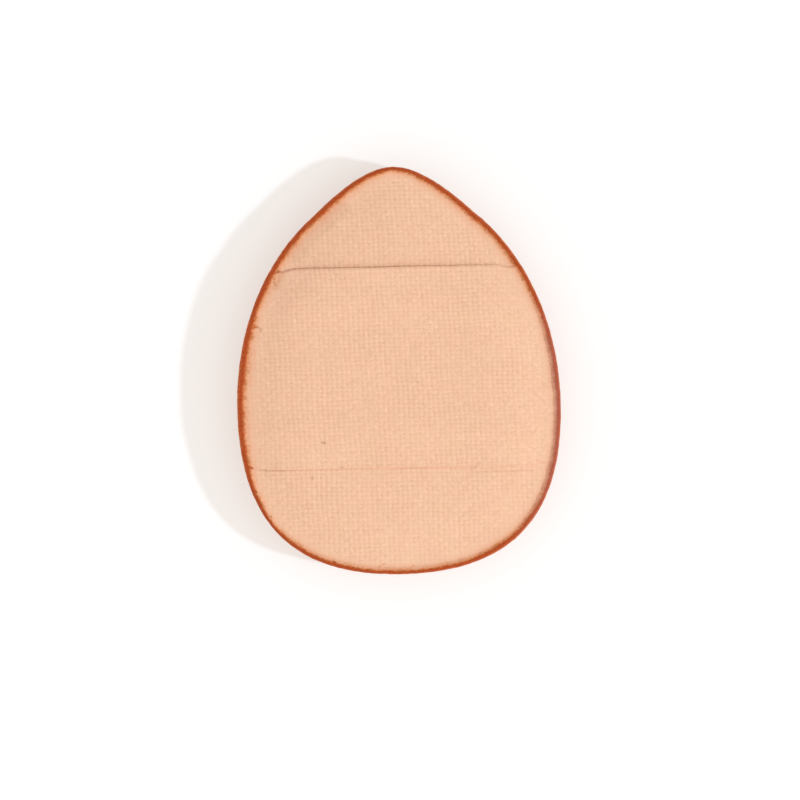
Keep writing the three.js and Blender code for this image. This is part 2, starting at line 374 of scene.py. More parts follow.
class Body:
    """The points, faces and material values of one closed mesh."""

    def __init__(self, *value_names):
        self.points = []
        self.values = {name: [] for name in value_names}
        self.faces = []
        self.count = 0

    def row(self, points, **values):
        """Adds a row of points and returns their numbers."""
        self.points.append(points)
        for name, column in self.values.items():
            column.append(np.broadcast_to(values[name], len(points)))
        self.count += len(points)
        return np.arange(self.count - len(points), self.count)

    def strip(self, first, first_order, second, second_order):
        """Triangles between two rows, given how far along each point lies."""
        a, b = 0, 0
        end_a, end_b = len(first) - 1, len(second) - 1
        first, second = first.tolist(), second.tolist()
        while a < end_a or b < end_b:
            if b == end_b or (a < end_a and first_order[a + 1] <= second_order[b + 1]):
                face = first[a], first[a + 1], second[b]
                a += 1
            else:
                face = first[a], second[b + 1], second[b]
                b += 1
            if len(set(face)) == 3:
                self.faces.append(face)

    def loop_strip(self, first, second):
        """Quads between two closed rows of as many points."""
        quads = np.stack([first, np.roll(first, -1), np.roll(second, -1), second], 1)
        self.faces.extend(quads.tolist())

    def object(self, name, material):
        """The mesh as an object in the scene."""
        mesh = bpy.data.meshes.new(name)
        mesh.from_pydata((np.vstack(self.points) * METRES).tolist(), [], self.faces)
        for value_name, columns in self.values.items():
            attribute = mesh.attributes.new(value_name, "FLOAT", "POINT")
            attribute.data.foreach_set("value", np.concatenate(columns).astype(np.float32))
        mesh.polygons.foreach_set("use_smooth", [True] * len(mesh.polygons))
        mesh.set_sharp_from_angle(angle=math.radians(SHARP_ANGLE))
        mesh.materials.append(material)
        return put(name, mesh)


def stations(count):
    """Places spaced evenly round the outline, counter-clockwise from the base."""
    points, outward = (np.vstack([half, half[-2::-1] * (-1, 1)]) for half in (EDGE, EDGE_OUT))
    lengths = chain_lengths(points)
    even = np.arange(count) / count * lengths[-1]
    return along_chain(even, lengths, points), unit(along_chain(even, lengths, outward))


def even_turns(count):
    return np.arange(count) / count * math.tau


def waves_round(turn, waves):
    """Sum of waves round the puff, each as its count and start."""
    return sum(np.sin(count * turn + start) for count, start in waves)


def trimmed(count):
    """Stations along the trimmed edge, which wavers about the outline."""
    points, outward = stations(count)
    waver = TRIM_WAVER * waves_round(even_turns(count), TRIM_WAVES)
    return points + outward * waver[:, None], outward


def ring(around, inset):
    """The outline drawn in by an inset, evenly at first and then shrinking to the centre."""
    points, outward = around
    inset = np.broadcast_to(inset, len(points))[:, None]
    even = np.minimum(inset, EVEN_INSET)
    return lerp(points - outward * even, CENTRE, (inset - even) / (CORE_INSET - EVEN_INSET))


def lift(flat, height):
    """Flat places raised to a height."""
    return np.column_stack([flat, np.broadcast_to(height, len(flat))])


# Cloth

def wave(u, v, lengths, start):
    """A wave over the cloth, with its lengths along u and v."""
    return np.sin(u / lengths[0] + v / lengths[1] + start)


class Weave:
    """Plain weave. Its u counts across the warp yarns and its v along them."""

    def __init__(self, seed, warp_turn, weft_turn, bow=0.0):
        random = np.random.default_rng(seed)
        self.lean = math.tan(math.radians(warp_turn))
        self.cosine = math.cos(math.radians(weft_turn))
        self.sine = math.sin(math.radians(weft_turn))
        self.bow = bow
        self.yarns = np.arange(-YARNS_EACH_WAY, YARNS_EACH_WAY + 1)
        count = len(self.yarns)
        self.tones = random.normal(0, 1, (2, count))
        self.sizes = random.uniform(*YARN_SIZES, (2, count))
        self.jitters = random.uniform(-YARN_JITTER, YARN_JITTER, (2, count))
        self.waves = random.uniform(0, math.tau, (2, count))
        self.spans = random.uniform(*TONE_SPANS, (2, count))
        self.wanders = random.uniform(0, math.tau, (2, 4))
        self.patches = random.uniform(0, math.tau, 5)
        self.streaks = random.normal(0, 1, (count, count))
        self.crossings = random.normal(0, 1, (count, count))
        self.pit_shades = random.uniform(*PIT_SHADES, (count, count))

    def place(self, u, v):
        """Where cloth coordinates lie in the frame."""
        return u * self.cosine - self.lean * v - self.bow * v ** 2, v + u * self.sine

    def coordinates(self, x, y):
        """The cloth coordinates of places in the frame, from five rounds of approach."""
        u = x
        for _ in range(5):
            v = y - u * self.sine
            u = (x + self.lean * v + self.bow * v ** 2) / self.cosine
        return u, v

    def wander(self, u, v):
        """How far the yarns stray sideways from their straight lines, across and along."""
        strays = []
        for k, yarn in enumerate((u / WARP_PITCH, v / WEFT_PITCH)):
            waves = zip(WANDER_WAVES[k], self.wanders[k])
            large, small = (wave(u, v, lengths, start) for lengths, start in waves)
            jitter = np.interp(yarn, self.yarns, self.jitters[k])
            strays.append(jitter + YARN_WANDER * (large + small / 2))
        return strays

    def patch(self, u, v):
        """How deep the weave is pressed, which changes slowly over the cloth."""
        *starts, start_u, start_v = self.patches
        slow = sum(wave(u, v, lengths, start) for lengths, start in zip(PATCH_WAVES, starts))
        length_u, length_v = FINE_PATCH_LENGTHS
        fine = FINE_PATCH_SWING * np.sin(u / length_u + start_u) * np.sin(v / length_v + start_v)
        return 1 + PATCH_SWING * slow + fine

    def surface(self, u, v, back):
        """Relief from 0 in the gaps to 1 on the crowns, how little painted shade the gaps put on the
        place, the tone of the yarn on top, and whether that is a warp yarn."""
        across, along = u / WARP_PITCH, v / WEFT_PITCH
        i, j = np.round(across).astype(int), np.round(along).astype(int)
        side = (1 - 2 * ((i + j) % 2)) * (-1 if back else 1)
        fall_u, fall_v = (clamp(np.cos(np.pi * offset)) ** YARN_FULLNESS
                          for offset in (across - i, along - j))
        i, j = i - self.yarns[0], j - self.yarns[0]
        warp = CRIMP_SHARE * side * fall_v + (1 - CRIMP_SHARE) * self.sizes[0, i] * fall_u
        weft = -CRIMP_SHARE * side * fall_u + (1 - CRIMP_SHARE) * self.sizes[1, j] * fall_v
        slow = [np.sin(math.tau * place / self.spans[k, yarn] + self.waves[k, yarn])
                for k, yarn, place in ((0, i, v), (1, j, u))]
        warp_tone = self.tones[0, i] + WARP_SLOW_SHARE * slow[0]
        weft_tone = WEFT_EVEN_SHARE * self.tones[1, j] + WEFT_SLOW_SHARE * slow[1]
        tone = YARN_TONE * np.where(warp > weft, warp_tone, weft_tone)
        run = v / STREAK_LENGTH
        start = np.floor(run).astype(int)
        row = start - self.yarns[0]
        streak = lerp(self.streaks[i, row], self.streaks[i, row + 1], run - start)
        tone = tone + STREAK_TONE * streak
        tone = tone + CROSSING_TONE * self.crossings[i, j]
        height = np.maximum(warp, weft)
        gap = [np.floor(place).astype(int) - self.yarns[0] for place in (across, along)]
        # 1 on the crowns and less in the gaps, where the material paints shade
        shown = 1 - (1 - height) * self.pit_shades[gap[0], gap[1]]
        return height, shown, tone, (warp > weft).astype(float)


def both_ways(values):
    """Numbers from the lowest to the highest value of a closed row, onwards and backwards."""
    low, high, count = values.argmin(), values.argmax(), len(values)
    onwards = (low + np.arange((high - low) % count + 1)) % count
    return onwards, (low - np.arange((low - high) % count + 1)) % count


def weld_ends(weave):
    """The weld's inner edge in cloth coordinates, as two chains upwards along v."""
    flat = ring(stations(LINING_STATIONS), WELD_INSET)
    u, v = weave.coordinates(flat[:, 0], flat[:, 1])
    right, left = both_ways(v)
    return (u[left], v[left]), (u[right], v[right])


def spaced(first, last, spacing, margin_share=END_MARGIN_SHARE):
    """Multiples of a spacing between two ends, clear of them by a share of it."""
    inner = np.arange(math.ceil(first / spacing), math.floor(last / spacing) + 1) * spacing
    margin = margin_share * spacing
    return inner[(inner > first + margin) & (inner < last - margin)]


def between(first, last, *spacing):
    """The same with the two ends."""
    return np.concatenate([[first], spaced(first, last, *spacing), [last]])


def melt_depth(x, y, inset):
    """The inset of places as a share of the melted rim's width there."""
    turn = np.arctan2(y - CENTRE[1], x)
    width = np.interp(turn, even_turns(len(MELT_WIDTHS)), MELT_WIDTHS, period=math.tau)
    return inset / (width * (1 + MELT_UNEVEN_SHARE * waves_round(turn, MELT_WAVES)))


def nearness(x, y, path, reach):
    """1 near a path of pixels, falling to 0 at a reach from it."""
    corners = [photo_place(*pixel) for pixel in zip(path[::2], path[1::2])]
    gap = np.inf
    for (ax, ay), (bx, by) in zip(corners, corners[1:]):
        side_x, side_y = bx - ax, by - ay
        share = clamp(((x - ax) * side_x + (y - ay) * side_y) / (side_x ** 2 + side_y ** 2))
        gap = np.minimum(gap, np.hypot(x - ax - share * side_x, y - ay - share * side_y))
    return 1 - smooth(MARK_CORE_SHARE * reach, reach, gap)


def strongest(x, y, marks):
    """The strongest of several marks."""
    shown = [strength * nearness(x, y, path, reach) for path, reach, strength in marks]
    return np.maximum.reduce(shown)


def scorched_depth(x, y, inset):
    """The melt's depth, less where a scorch has run further in."""
    depth = melt_depth(x, y, inset)
    for path, reach, run_depth in SCORCHES:
        depth = np.minimum(depth, lerp(depth, run_depth, nearness(x, y, path, reach)))
    return depth


def cloth_row(body, weave, u, v, plies=0, clearance=0.0, press=1.0, thread=None, facing=(0.0, 1.0),
              extra_lift=0.0, shift=0.0, relief=WEAVE_RELIEF, press_width=PRESS_WIDTH, stray=1.0,
              back=False):
    """Adds a row of cloth with its yarns in relief. It lies a clearance and some plies above the
    crown, times the press. The facing is its own normal, as shares along v and up."""
    v = np.broadcast_to(v, u.shape)
    x, y = weave.place(u, v)
    edge_inset, inward = inset_at(x, y)
    free = smooth(0, FREE_REACH, edge_inset - WELD_INSET)
    stray_u, stray_v = weave.wander(u, v)
    square = np.maximum(inward[:, 0] ** 2, LEAST_SQUARE)
    along_edge = -shift * inward[:, 1] * inward[:, 0] / square
    x, y = x + free * stray_u + along_edge, y + stray * free * stray_v + shift
    point, normal, inset = crown(x, y)
    loft = loft_share(inset, press_width)
    thread = v if thread is None else np.broadcast_to(thread, u.shape)
    height, shown, tone, is_warp = weave.surface(u, thread, back)
    warp_run = np.array([-weave.lean, 1, 0])
    along = warp_run - normal * (normal @ warp_run)[:, None]
    along /= np.linalg.norm(along, axis=1)[:, None]
    outward = facing[0] * along + facing[1] * normal
    # Creases: a dent in the cloth, and painted shade in its colour
    crease = strongest(x, y, CREASES)
    rise = press * (clearance + plies * CLOTH_THICKNESS * loft)
    point = point + normal * rise[:, None]
    if relief:
        yarns = relief * loft * weave.patch(u, thread) * (height - WEAVE_MEAN_SHARE)
        point = point + outward * (yarns - CREASE_DEPTH * crease)[:, None]
    point[:, 2] += extra_lift
    melt = scorched_depth(x, y, inset)
    # Darkening from specks, with painted shade from the shaded zones and the creases
    soil = np.maximum(strongest(x, y, SPECKS_AND_SHADES), CREASE_SHADE * crease)
    # Painted shade along the folds' lines goes in with the soil
    soil = np.maximum(soil, fold_shade(facing[0]))
    burn = strongest(x, y, BURNS)
    return body.row(point, relief=shown, tone=tone, warp=is_warp, melt=melt, soil=soil, burn=burn)


CLOTH_VALUES = ("relief", "tone", "warp", "melt", "soil", "burn")


def make_lining(material):
    """The woven back, coarser where the band covers it."""
    weave = Weave(LINING_SEED, *LINING_TURNS, LINING_BOW)
    left, right = weld_ends(weave)
    base, tip = left[1][0], left[1][-1]
    hidden_from, hidden_to = BAND_BOTTOM + HIDDEN_MARGIN, BAND_TOP - HIDDEN_MARGIN
    body = Body(*CLOTH_VALUES)

    def steps_above(v):
        return HIDDEN_YARN_STEPS if hidden_from < v < hidden_to else YARN_STEPS

    def layer(v_values, steps_at, **settings):
        """The rows of one face, each with its places along u."""
        rows = []
        for v in v_values:
            low, high = np.interp(v, left[1], left[0]), np.interp(v, right[1], right[0])
            wide = high - low > WARP_PITCH
            u = between(low, high, WARP_PITCH / steps_at(v)) if wide else np.array([low])
            rows.append((u, cloth_row(body, weave, u, v, **settings)))
        return rows

    def rim(rows):
        """The layer's edge, counter-clockwise, and its points' turns."""
        numbers = np.array([row[-1] for _, row in rows] + [row[0] for _, row in rows[-2:0:-1]])
        points = np.vstack(body.points)[numbers]
        turn = np.unwrap(np.arctan2(points[:, 0], CENTRE[1] - points[:, 1]))
        return np.append(numbers, numbers[0]), np.append(turn, turn[0] + math.tau)

    coarse, fine = (between(base, tip, WEFT_PITCH / steps, ROW_MARGIN_SHARE)
                    for steps in (HIDDEN_YARN_STEPS, YARN_STEPS))
    hidden = coarse[(coarse > hidden_from) & (coarse < hidden_to)]
    shown = fine[(fine <= hidden_from) | (fine >= hidden_to)]
    upper = layer(np.sort(np.concatenate([hidden, shown])), steps_above)
    lower = layer(coarse[::2], lambda v: 1, plies=-1, relief=0.0, back=True)
    for rows in (upper, lower[::-1]):
        for (u, row), (next_u, next_row) in zip(rows, rows[1:]):
            body.strip(row, u, next_row, next_u)

    body.strip(*rim(lower), *rim(upper))
    return body.object("woven_lining", material)


def middle_settle(v):
    """How far the single ply between the hems sinks below them."""
    upper = smooth(UPPER_HEM, UPPER_HEM - SETTLE_REACH, v)
    lower = smooth(LOWER_HEM, LOWER_HEM + SETTLE_REACH, v)
    return MIDDLE_SETTLE * upper * lower


def fold_press(u, v):
    """Share of its height over the lining that the band keeps near its folds."""
    upper_share = lerp(*UPPER_PRESSED_SHARES, smooth(-UPPER_PRESS_SPAN, UPPER_PRESS_SPAN, u))
    upper = smooth(BAND_TOP, BAND_TOP - UPPER_PRESS_REACH, v)
    lower = smooth(BAND_BOTTOM, BAND_BOTTOM + LOWER_PRESS_REACH, v)
    return lerp(upper_share, 1, upper) * lerp(LOWER_PRESSED_SHARE, 1, lower)


def fold_stray(v):
    """How much of their wander the weft yarns keep, less of it towards the folds."""
    to_fold = min(BAND_TOP - v, v - BAND_BOTTOM)
    return lerp(FOLD_STRAY_SHARE, 1, smooth(0, FOLD_STRAY_REACH, to_fold))


def fold_shade(facing_along):
    """How much painted shade darkens cloth along the folds' lines, facing towards the tip, above 0,
    or the base.
    """
    full = UPPER_FOLD_SHADE if facing_along > 0 else LOWER_FOLD_SHADE
    return full * smooth(*SHADE_FACINGS, abs(facing_along))


def edge_pull(across, v):
    """How far the weld pulls the band's edges together at its ends."""
    upper = smooth(UPPER_HEM, BAND_TOP, v)
    lower = smooth(LOWER_HEM, BAND_BOTTOM, v)
    upper = upper * smooth(END_PULL_REACH, END_PULL_REACH / 3, across)
    lower = lower * smooth(END_PULL_REACH, 0, across)
    return END_PULL * (lower - upper)


def slack(across_share, v):
    """How far the band's free edges bow up, most in the middle."""
    upper = clamp((v - BAND_TOP + SLACK_REACH) / SLACK_REACH) ** 2
    lower = clamp((BAND_BOTTOM + SLACK_REACH - v) / SLACK_REACH) ** 2
    return (1 - across_share ** 2) * (UPPER_SLACK * upper + LOWER_SLACK * lower)


def band_section():
    """The band's rows as (v, plies above the lining, facing, thread, steps, back), over the top
    from the lower fold to the upper one and back underneath."""
    ply = CLOTH_THICKNESS
    bend = math.pi * ply
    fine, coarse = WEFT_PITCH / YARN_STEPS, WEFT_PITCH / HIDDEN_YARN_STEPS
    low, high = BAND_BOTTOM + ply, BAND_TOP - ply
    rows = []

    def under(v, plies, thread, back):
        rows.append((v, plies, (0.0, -1.0), thread, HIDDEN_YARN_STEPS, back))

    def fold(edge, side):
        """Rows half a turn round a fold, downwards at the upper one, upwards at the lower one."""
        start = high if side > 0 else low
        threads = start + side * np.concatenate([spaced(0, bend, fine), [bend]])
        for thread in threads[::side]:
            turn = side * (thread - start) / ply
            facing = (side * math.sin(turn), math.cos(turn))
            v = edge - side * ply * (1 - math.sin(turn))
            rows.append((v, 1 + math.cos(turn), facing, thread, YARN_STEPS, False))

    for v in between(low, high, fine):
        rows.append((v, 2 - middle_settle(v) / ply, (0.0, 1.0), v, YARN_STEPS, False))
    fold(BAND_TOP, 1)
    for v in spaced(UPPER_HEM, high, coarse)[::-1]:
        under(v, 0, 2 * high + bend - v, False)
    for plies in (0, 1):
        under(UPPER_HEM, plies, UPPER_HEM, True)
    for v in spaced(LOWER_HEM, UPPER_HEM, coarse)[::-1]:
        under(v, 1 - middle_settle(v) / ply, v, True)
    for plies in (1, 0):
        under(LOWER_HEM, plies, LOWER_HEM, True)
    for v in spaced(low, LOWER_HEM, coarse)[::-1]:
        under(v, 0, 2 * low - bend - v, False)
    fold(BAND_BOTTOM, -1)
    return rows


def make_band_half(name, side, material):
    """Half of the finger band, from the crown of its middle warp yarn."""
    weave = Weave(BAND_SEED, *BAND_TURNS)
    body = Body(*CLOTH_VALUES)
    end_u, end_v = weld_ends(weave)[side > 0]
    rows = []
    for v, plies, facing, thread, steps, back in band_section():
        end = np.interp(v, end_v, end_u)
        u = between(min(0, end), max(0, end), WARP_PITCH / steps)
        numbers = cloth_row(
            body, weave, u, v, plies=plies, clearance=BAND_CLEARANCE, press=fold_press(u, v),
            thread=thread, facing=facing, extra_lift=slack(clamp(np.abs(u / end)), v),
            shift=edge_pull(np.abs(end - u), v), press_width=BAND_PRESS_WIDTH,
            stray=fold_stray(v), back=back)
        rows.append((v, u, numbers))
    for (_, u, row), (_, next_u, next_row) in zip(rows, rows[1:] + rows[:1]):
        body.strip(row, u, next_row, next_u)
    places = np.array([v for v, _, _ in rows])
    over, under = both_ways(places)
    for end, chains in ((0, (over, under)), (-1, (under, over))):
        first, second = (np.array([rows[k][2][end] for k in chain]) for chain in chains)
        body.strip(first, places[chains[0]], second, places[chains[1]])
    return body.object(name, material)


# Solids that follow the outline

def round_object(name, material, around, section, **values):
    """A closed solid from rings as (inset, height), from the underside outwards, up and back in.
    Material values have a column for each ring."""
    body = Body(*values)
    rows = []
    for index, (inset, height) in enumerate(section):
        if np.ndim(inset) == 0 and inset >= CORE_INSET:
            points = lift(CENTRE[None], np.mean(height))
        else:
            points = lift(ring(around, inset), height)
        given = {key: column[index] for key, column in values.items()}
        rows.append(body.row(points, **given))
    closed = len(rows[0]) > 1
    for lower, upper in zip(rows, rows[1:] + rows[:1] if closed else rows[1:]):
        if len(lower) == 1:
            body.faces.extend((lower[0], b, a) for a, b in zip(upper, np.roll(upper, -1)))
        elif len(upper) == 1:
            body.faces.extend((a, b, upper[0]) for a, b in zip(lower, np.roll(lower, -1)))
        else:
            body.loop_strip(lower, upper)
    return body.object(name, material)


def front_arc(depth):
    """The rounded front edge at a depth inside the skin."""
    turn = np.linspace(0, np.pi / 2, ARC_STEPS + 1)
    inset = FACE_INSET - (FACE_INSET - depth) * np.sin(turn)
    return list(zip(inset, FULLEST_HEIGHT - (FULLEST_HEIGHT - depth) * np.cos(turn)))


def shoulder(depth, end_inset, end_height):
    """The side from its fullest height up to a point, without its first one."""
    share = np.linspace(0, 1, SHOULDER_STEPS + 1)[1:]
    rest = 1 - share
    swell = lerp(FULLEST_HEIGHT, end_height, SHOULDER_SWELL_SHARE)
    inset = depth + (end_inset - depth) * share ** 2
    height = rest ** 2 * FULLEST_HEIGHT + 2 * share * rest * swell + share ** 2 * end_height
    return list(zip(inset, height))


def make_skin(material):
    """The front skin, a shallow cup with a margin under the weld."""
    face = [(inset, 0.0) for inset in np.linspace(CORE_INSET, FACE_INSET, FACE_RINGS)[:-1]]
    side = front_arc(0) + shoulder(0, SHOULDER_INSET, SHOULDER_HEIGHT)
    margin = [(WELD_INSET, SHOULDER_HEIGHT), (WELD_INSET, SKIN_MARGIN_TOP),
              (MARGIN_END, SKIN_MARGIN_TOP)]
    inner = front_arc(SKIN_THICKNESS) + shoulder(SKIN_THICKNESS, MARGIN_END, SHOULDER_HEIGHT)
    section = face + side + margin + inner[::-1] + [(CORE_INSET, SKIN_THICKNESS)]
    return round_object("microcell_skin", material, trimmed(SKIN_STATIONS), section)


def crown_section(around, first_inset, count, depth):
    """Rings from a first inset to the centre, on the face a depth below the lining's underside."""
    section = []
    for inset in lerp(first_inset, CORE_INSET, np.linspace(0, 1, count) ** RING_CROWDING):
        flat = ring(around, inset) if inset < CORE_INSET else CENTRE[None]
        point, normal, true_inset = crown(flat[:, 0], flat[:, 1])
        below = CLOTH_THICKNESS * loft_share(true_inset) + depth
        section.append((inset, (point - normal * below[:, None])[:, 2]))
    return section


def make_foam(material):
    """The foam pad, which fills the cup up to the film."""
    around = stations(PAD_STATIONS)
    depth = SKIN_THICKNESS + LAYER_GAP
    edge_inset = MARGIN_END + LAYER_GAP
    film_depth = 2 * LAYER_GAP + FILM_THICKNESS + FOAM_EXTRA_GAP
    top = crown_section(around, edge_inset + FOAM_TOP_INSET, FOAM_RINGS, film_depth)
    side = front_arc(depth) + shoulder(depth, edge_inset, SHOULDER_HEIGHT)
    return round_object("foam_pad", material, around, [(CORE_INSET, depth)] + side + top)


def make_film(material):
    """The film between the foam and the lining."""
    around = stations(PAD_STATIONS)
    lower, upper = (crown_section(around, WELD_INSET, FILM_RINGS, depth)
                    for depth in (LAYER_GAP + FILM_THICKNESS, LAYER_GAP))
    return round_object("liquid_barrier", material, around, lower[::-1] + upper)


# Bead section as (inset, share of the cloth's height, rise above that)
BEAD_SECTION = (
    (0.87, 0.0, 0.0), (0.31, 0.0, 0.0), (0.12, 0.25, 0.0), (0.07, 0.7, 0.0), (0.13, 0.94, 0.02),
    (0.30, 1.0, 0.12), (0.52, 1.0, 0.15), (0.76, 1.0, 0.11), (0.98, 1.0, 0.045), (1.12, 1.0, -0.03),
    (1.04, 1.0, -0.05), (0.87, 0.9, 0.0),
)
BEAD_GAP = 0.01
BEAD_LOW = SHOULDER_HEIGHT + BEAD_GAP

# Step of the bead up to the band: reaches outside the band's edges, at the crest and at the lip
STEP_REACHES = (1.5, 0.55)
STEP_END = 0.05
LIP_INSETS = (0.6, 1.0)

# Waves of the bead round the puff: from the third on they also fray its lip
LUMP_COUNTS = (9, 17, 31, 47, 83, 121)
LUMP_FADE = 40
LUMP_DIVISOR = 3
LUMP_RISE = 0.02
LUMP_SHARE = 0.2
SWELL_SHARES = (0.2, 0.8)
FRAY = 0.05
FRAY_INSETS = (0.7, 1.05)


def round_corners(points):
    """Corners cut twice: each gives way to two points on its sides."""
    for _ in range(2):
        after = np.roll(points, -1, axis=0)
        cut = [lerp(points, after, share) for share in (0.25, 0.75)]
        points = np.stack(cut, 1).reshape(-1, points.shape[1])
    return points


def cloth_top_at_weld(x, y, reach):
    """Height of the topmost cloth at the weld: the lining's, or the band's from a reach outside its
    edges inwards."""
    low, high = BAND_BOTTOM + END_PULL, BAND_TOP - END_PULL
    press = fold_press(x, y + END_PULL * np.sign(y))
    inside = smooth(low - reach, low - STEP_END, y) * smooth(high + reach, high + STEP_END, y)
    band = 2 * CLOTH_THICKNESS - middle_settle(y)
    return LINING_MARGIN_TOP + inside * press * (BAND_CLEARANCE + PRESSED_SHARE * band)


def make_weld(material):
    """The melted bead, lumpy along its crest and frayed at its inner lip."""
    around = trimmed(BEAD_STATIONS)
    random = np.random.default_rng(BEAD_SEED)
    turn = even_turns(BEAD_STATIONS)
    waves = [(count, random.uniform(0, math.tau)) for count in LUMP_COUNTS]
    lumps = sum(np.sin(count * turn + start) / (1 + count / LUMP_FADE) for count, start in waves)
    lumps /= LUMP_DIVISOR
    frays = waves_round(turn, [(count, 2 * start) for count, start in waves[2:]]) / LUMP_DIVISOR
    crest, lip = (cloth_top_at_weld(*around[0].T, reach) for reach in STEP_REACHES)
    section, depths, burns = [], [], []
    for inset, share, rise in round_corners(np.array(BEAD_SECTION)):
        top = lerp(crest, lip, smooth(*LIP_INSETS, inset))
        swell = LUMP_RISE * lumps * smooth(*SWELL_SHARES, share)
        frayed = inset + FRAY * frays * smooth(*FRAY_INSETS, inset)
        height = lerp(BEAD_LOW, top, share) + rise * (1 + LUMP_SHARE * lumps) + swell
        section.append((frayed, height))
        flat = ring(around, frayed)
        depths.append(scorched_depth(flat[:, 0], flat[:, 1], frayed))
        burns.append(strongest(flat[:, 0], flat[:, 1], BURNS))
    return round_object("melted_weld", material, around, section, melt=depths, burn=burns)


# Materials

# Colours of the melt over its depth
MELT_STOPS = (
    (0.0, (228, 140, 94)), (0.1, (210, 116, 72)), (0.24, (180, 82, 42)), (0.42, (172, 69, 26)),
    (0.54, (183, 87, 42)), (0.64, (204, 116, 68)), (0.74, (222, 146, 102)), (0.88, (234, 169, 130)),
    (1.1, (239, 182, 147)), (1.4, (241, 189, 156)), (1.9, (243, 195, 162)),
)
RAG_SIZE = 0.34
FIBRE_SIZE = 0.14


def new_material(name, roughness, specular, sheen=0.0, sheen_roughness=0.5):
    material = bpy.data.materials.new(name)
    material.use_nodes = True
    shader = material.node_tree.nodes["Principled BSDF"]
    for socket, level in (("Roughness", roughness), ("Specular IOR Level", specular),
                          ("Sheen Weight", sheen), ("Sheen Roughness", sheen_roughness)):
        shader.inputs[socket].default_value = level
    return material, material.node_tree, shader


def add(tree, kind, inputs, **settings):
    """A node with its settings, its inputs set to values or linked to outputs."""
    node = tree.nodes.new("ShaderNode" + kind)
    for name, value in settings.items():
        setattr(node, name, value)
    for key, value in inputs.items():
        if isinstance(value, bpy.types.NodeSocket):
            tree.links.new(value, node.inputs[key])
        else:
            node.inputs[key].default_value = value
    return node


def combine(tree, operation, first, second=0.0, third=0.0):
    return add(tree, "Math", {0: first, 1: second, 2: third}, operation=operation).outputs[0]


def product(tree, first, *others):
    for other in others:
        first = combine(tree, "MULTIPLY", first, other)
    return first


def scaled(tree, vector, scale):
    return add(tree, "VectorMath", {0: vector, "Scale": scale}, operation="SCALE").outputs[0]


def attribute(tree, name):
    return add(tree, "Attribute", {}, attribute_name=name).outputs["Fac"]


def place(tree, stretch=(1, 1, 1)):
    """The place on the piece in millimetres, stretched by shares."""
    source = add(tree, "TexCoord", {}).outputs["Object"]
    scale = tuple(share / METRES for share in stretch)
    return add(tree, "Mapping", {"Vector": source, "Scale": scale}).outputs[0]


def noise(tree, vector, size, detail=2.0, roughness=0.5):
    """Noise with features of about a size in millimetres."""
    inputs = {"Vector": vector, "Scale": 1 / size, "Detail": detail, "Roughness": roughness}
    return add(tree, "TexNoise", inputs).outputs[0]


def cells(tree, vector, size):
    """Distance from the centres of cells of about a size in millimetres."""
    return add(tree, "TexVoronoi", {"Vector": vector, "Scale": 1 / size}).outputs["Distance"]


def spread(tree, value, low, high, to_low=0.0, to_high=1.0):
    """A value between low and high, carried over to another range."""
    inputs = {0: value, 1: low, 2: high, 3: to_low, 4: to_high}
    return add(tree, "MapRange", inputs).outputs[0]


def mix(tree, share, low, high, blend="MIX"):
    inputs = {"Fac": share, "Color1": low, "Color2": high}
    return add(tree, "MixRGB", inputs, blend_type=blend).outputs[0]


def ramp(tree, share, stops):
    """Colours between stops, each a position and a colour."""
    node = add(tree, "ValToRGB", {"Fac": share})
    stop_list = node.color_ramp.elements
    while len(stop_list) < len(stops):
        stop_list.new(0.5)
    for stop, (position, colour) in zip(stop_list, stops):
        stop.position = position
        stop.color = colour
    return node.outputs[0]


def bump(tree, height, depth, strength, normal=None):
    """The normal that a height gives, with a depth in millimetres."""
    inputs = {"Height": height, "Distance": depth * METRES, "Strength": strength}
    if normal is not None:
        inputs["Normal"] = normal
    return add(tree, "Bump", inputs).outputs[0]


def connect(tree, shader, base, normal):
    tree.links.new(base, shader.inputs["Base Color"])
    tree.links.new(normal, shader.inputs["Normal"])


def colour(red, green, blue):
    """An 8-bit display colour as the linear colour that renders as it."""
    linear = []
    for share in (red / 255, green / 255, blue / 255):
        linear.append(share / 12.92 if share <= 0.04045 else ((share + 0.055) / 1.055) ** 2.4)
    return (*linear, 1.0)


def ragged_melt(tree, rag):
    """The depth in the melt that the points carry, with a ragged front."""
    rags = noise(tree, place(tree), RAG_SIZE, 4, 0.6)
    strays = combine(tree, "MULTIPLY_ADD", rags, rag, -rag / 2)
    return combine(tree, "ADD", attribute(tree, "melt"), strays)


def melt_colours(tree, depth):
    """The rim's colours over its depth, with a painted sheen on its right side towards the base, and
    tan patches.
    """
    reach = MELT_STOPS[-1][0]
    stops = [(at / reach, colour(*shade)) for at, shade in MELT_STOPS]
    shade = ramp(tree, combine(tree, "DIVIDE", depth, reach), stops)
    to_right, to_tip, _ = add(tree, "SeparateXYZ", {"Vector": place(tree)}).outputs
    # Painted sheen: pinkish grey on the rim's right side, which faces the lamp, towards the base
    painted_sheen = product(
        tree, spread(tree, to_right, 14, 20, 0.0, 0.36), spread(tree, depth, 0.8, 1.3, 1.0, 0.0),
        spread(tree, to_tip, 3, 10, 1.0, 0.0), spread(tree, depth, 0.2, 0.65, 0.35, 1.0))
    shade = mix(tree, painted_sheen, shade, colour(170, 125, 125))
    patches = spread(tree, noise(tree, place(tree), 0.8), 0.5, 0.72, 0.0, 0.45)
    tanned = product(tree, patches, spread(tree, depth, 0.35, 0.6), spread(tree, depth, 1.0, 0.75))
    shade = mix(tree, tanned, shade, colour(168, 108, 58))
    return mix(tree, attribute(tree, "burn"), shade, colour(162, 76, 34))


